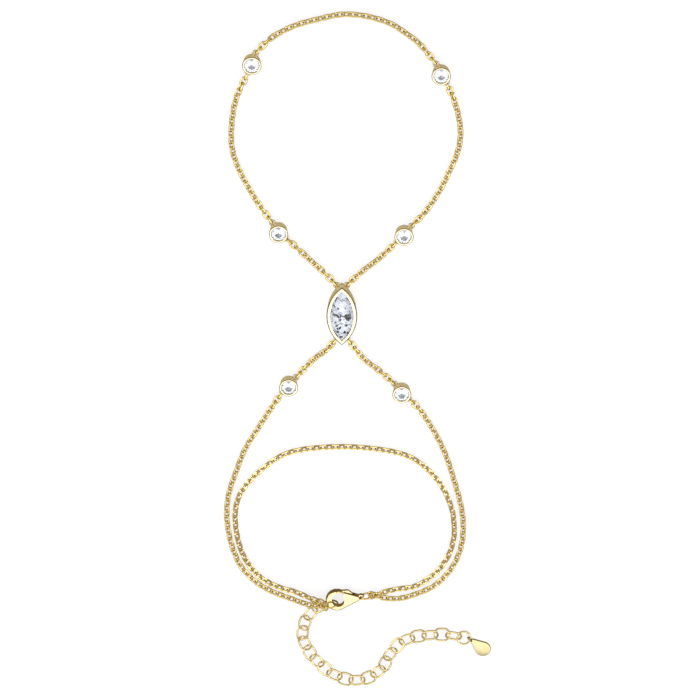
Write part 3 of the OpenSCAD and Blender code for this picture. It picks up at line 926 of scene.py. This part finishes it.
def disc(x, y, radius, z0, z1, steps=64):
    """A short round bar, at a place along and across the clasp."""
    rest()
    bpy.ops.mesh.primitive_cylinder_add(vertices=steps, radius=radius * MM, depth=(z1 - z0) * MM,
                                        location=(x * MM, y * MM, (z0 + z1) / 2 * MM))
    return bpy.context.object


def block(x0, x1, y0, y1, z0, z1):
    """A plain block for cutting."""
    rest()
    bpy.ops.mesh.primitive_cube_add(size=MM, location=((x0 + x1) / 2 * MM, (y0 + y1) / 2 * MM,
                                                       (z0 + z1) / 2 * MM))
    one = bpy.context.object
    one.scale = (x1 - x0, y1 - y0, z1 - z0)
    return one


def soften(piece, width):
    """Rounds every sharp edge, as casting and tumbling do."""
    rest()
    bpy.context.view_layer.objects.active = piece
    piece.select_set(True)
    step = piece.modifiers.new("soften", "BEVEL")
    step.width = width * MM
    step.segments = 2
    step.limit_method = "ANGLE"
    step.angle_limit = math.radians(42)
    bpy.ops.object.modifier_apply(modifier=step.name)


def place_clasp(piece):
    """Moves a piece that was made along the X axis to where the clasp lies."""
    rest()
    bpy.context.view_layer.objects.active = piece
    piece.select_set(True)
    piece.matrix_world = (Matrix.Translation((CLASP_AT[0] * MM, CLASP_AT[1] * MM, 0))
                          @ Matrix.Rotation(CLASP_TURN, 4, "Z") @ piece.matrix_world)


def clasp_drop():
    """The pillowed drop that the body and the gate are both cut from."""
    drop = wrapped(disc(0, 0, HEAD_R, CLASP_Z, CLASP_TOP),
                   disc(SHOULDER_X, 0, SHOULDER_R, CLASP_Z, CLASP_TOP))
    edit(drop)
    pick(drop, "edges", lambda p, n: min(abs(p.z / MM - CLASP_Z), abs(p.z / MM - CLASP_TOP)) < 0.01)
    bpy.ops.mesh.bevel(offset=PILLOW * MM, segments=7, profile=0.5)
    rest()
    return drop


def through(x, y, radius):
    """A bar that reaches past the clasp below and above, for cutting."""
    return disc(x, y, radius, LOW, HIGH)


def throat():
    """A bar in the shape of the hole inside the hook."""
    return wrapped(*[through(THROAT_X, y, THROAT_R) for y in THROAT_Y])


body = clasp_drop()
cut(body, throat())
cut(body, block(THROAT_X, THROAT_X + THROAT_R, 0, BEYOND_Y, LOW, HIGH))
sweep = through(*PIVOT, GATE_R + GATE_GAP)
cut(sweep, block(NOSE_X, THROAT_X + THROAT_R, GATE_LOW_Y, BEYOND_Y, LOW, HIGH), "INTERSECT")
cut(body, sweep)
cut(body, block(*SLOT_X, SLOT_LOW_Y, BEYOND_Y, CLASP_MIDDLE - SLOT_HALF, CLASP_MIDDLE + SLOT_HALF))
cut(body, through(*PIVOT, PIN_R - PIN_GRIP))
tail_eye = disc(TAIL_EYE_X, 0, TAIL_EYE_R, CLASP_MIDDLE - TAIL_EYE_HALF, CLASP_MIDDLE + TAIL_EYE_HALF)
cut(body, tail_eye, "UNION")
cut(body, through(TAIL_EYE_X, 0, TAIL_HOLE_R))
soften(body, SOFT_EDGE)
place_clasp(body)
fix_on(body, "clasp_shell", "bracelet", clasp_gilt, ["clasp_body"])
# Painted shade on the clasp's upper slopes that turn towards the camera
paint_edge_shade(body, lambda p, n: p.z > CLASP_MIDDLE + 0.4 and n.y > 0.2)

# The gate, its arm in the slot and its thumb piece are one lever that turns on the pin
gate = clasp_drop()
cut(gate, through(*PIVOT, GATE_R), "INTERSECT")
cut(gate, block(NOSE_X, GATE_END_X, GATE_LOW_Y, BEYOND_Y, LOW, HIGH), "INTERSECT")
cut(gate, throat())
cut(gate, block(THROAT_X, THROAT_X + THROAT_R, 0, GATE_INSIDE_Y, LOW, HIGH))
# The arm's rounded corners by place and radius: at the pivot, at the top and the tail of the
# thumb piece, and where the arm meets the gate
ARM_CORNERS = ((*PIVOT, 0.55), (2.5, 1.75, 0.3), (3.54, 1.0, 0.06), (1.38, 1.9, 0.18))
arm = wrapped(*[disc(x, y, radius, CLASP_MIDDLE - ARM_HALF, CLASP_MIDDLE + ARM_HALF)
                for x, y, radius in ARM_CORNERS])
cut(gate, arm, "UNION")
cut(gate, through(*PIVOT, PIN_R + PIN_PLAY))
soften(gate, SOFT_EDGE)
place_clasp(gate)
fix_on(gate, "clasp_gate", "lever", clasp_gilt, ["clasp_lever"])

# The pin is a small rivet, its two heads rounded over the shell by the punch
RIVET_PROUD = 0.015
RIVET_ROUND = 0.05
rivet = disc(*PIVOT, PIN_R, CLASP_Z - RIVET_PROUD, CLASP_TOP + RIVET_PROUD, steps=32)
soften(rivet, RIVET_ROUND)
place_clasp(rivet)
fix_on(rivet, "clasp_rivet", "bracelet", clasp_gilt, ["clasp_pin"])

# Extender
# A short run of larger oval links in 0.38 mm gilt wire, so that the hook can close on any one.
# A small ring of the same wire joins its far end to the tag.
ring_gilt = gilt("gilt_ring_wire", pale=(0.99, 0.86, 0.44), deep=(0.92, 0.73, 0.27),
                 cloud=900, scratch=12000, smoothest=0.06, roughest=0.22, depth=0.2)
dress("extender_chain", ring_gilt)
dress("tag_ring", ring_gilt)

# End tag
# A thin drop stamped from gilt brass and left bare, with a satin face. Its upright eyelet is
# soldered to its tip and hangs in the extender's last ring.
tag_gilt = gilt("satin_gilt_tag", pale=(0.65, 0.59, 0.34), deep=(0.58, 0.50, 0.27),
                cloud=450, scratch=15000, smoothest=0.14, roughest=0.34, depth=0.5)
TAG_RING_AT = (22.9, -66.3)
TAG_HOLD = math.radians(-15)
TAG_BEARING = math.radians(-42)
TAG_T = 0.5
TAG_ROUND = 0.12
TAG_EYE_R = 0.6
TAG_EYE_WIRE = 0.28
TAG_EYE_AT = 1.33
TAG_EYE_LIFT = 0.01
# Place along the drop and radius of its two ends
TAG_TIP = (2.2, 0.45)
TAG_BELLY = (5.2, 1.7)
TAG_AT = (TAG_RING_AT[0] + TAG_EYE_AT * (math.cos(TAG_HOLD) - math.cos(TAG_BEARING)),
          TAG_RING_AT[1] + TAG_EYE_AT * (math.sin(TAG_HOLD) - math.sin(TAG_BEARING)))

tag = wrapped(*[disc(along, 0, radius, 0, TAG_T) for along, radius in (TAG_BELLY, TAG_TIP)])
edit(tag)
pick(tag, "edges", lambda p, n: min(p.z, TAG_T * MM - p.z) < 0.01 * MM)
bpy.ops.mesh.bevel(offset=TAG_ROUND * MM, segments=4, profile=0.5)
rest()
eye_z = TAG_EYE_R + TAG_EYE_WIRE / 2 + TAG_EYE_LIFT
cut(tag, eyelet(TAG_EYE_AT, 0, eye_z, TAG_EYE_R, TAG_EYE_WIRE, (math.pi / 2, 0, 0)), "UNION")
tag.matrix_world = (Matrix.Translation((TAG_AT[0] * MM, TAG_AT[1] * MM, 0))
                    @ Matrix.Rotation(TAG_BEARING, 4, "Z") @ tag.matrix_world)
fix_on(tag, "stamped_tag", "bracelet", tag_gilt, ["end_tag"])
# Painted shade on the tag's upper slopes that turn towards the camera
paint_edge_shade(tag, lambda p, n: 0.3 < p.z < TAG_T and n.y > 0)

rest()
[[list(corner) for corner in box] for box in (cad_box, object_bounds())]
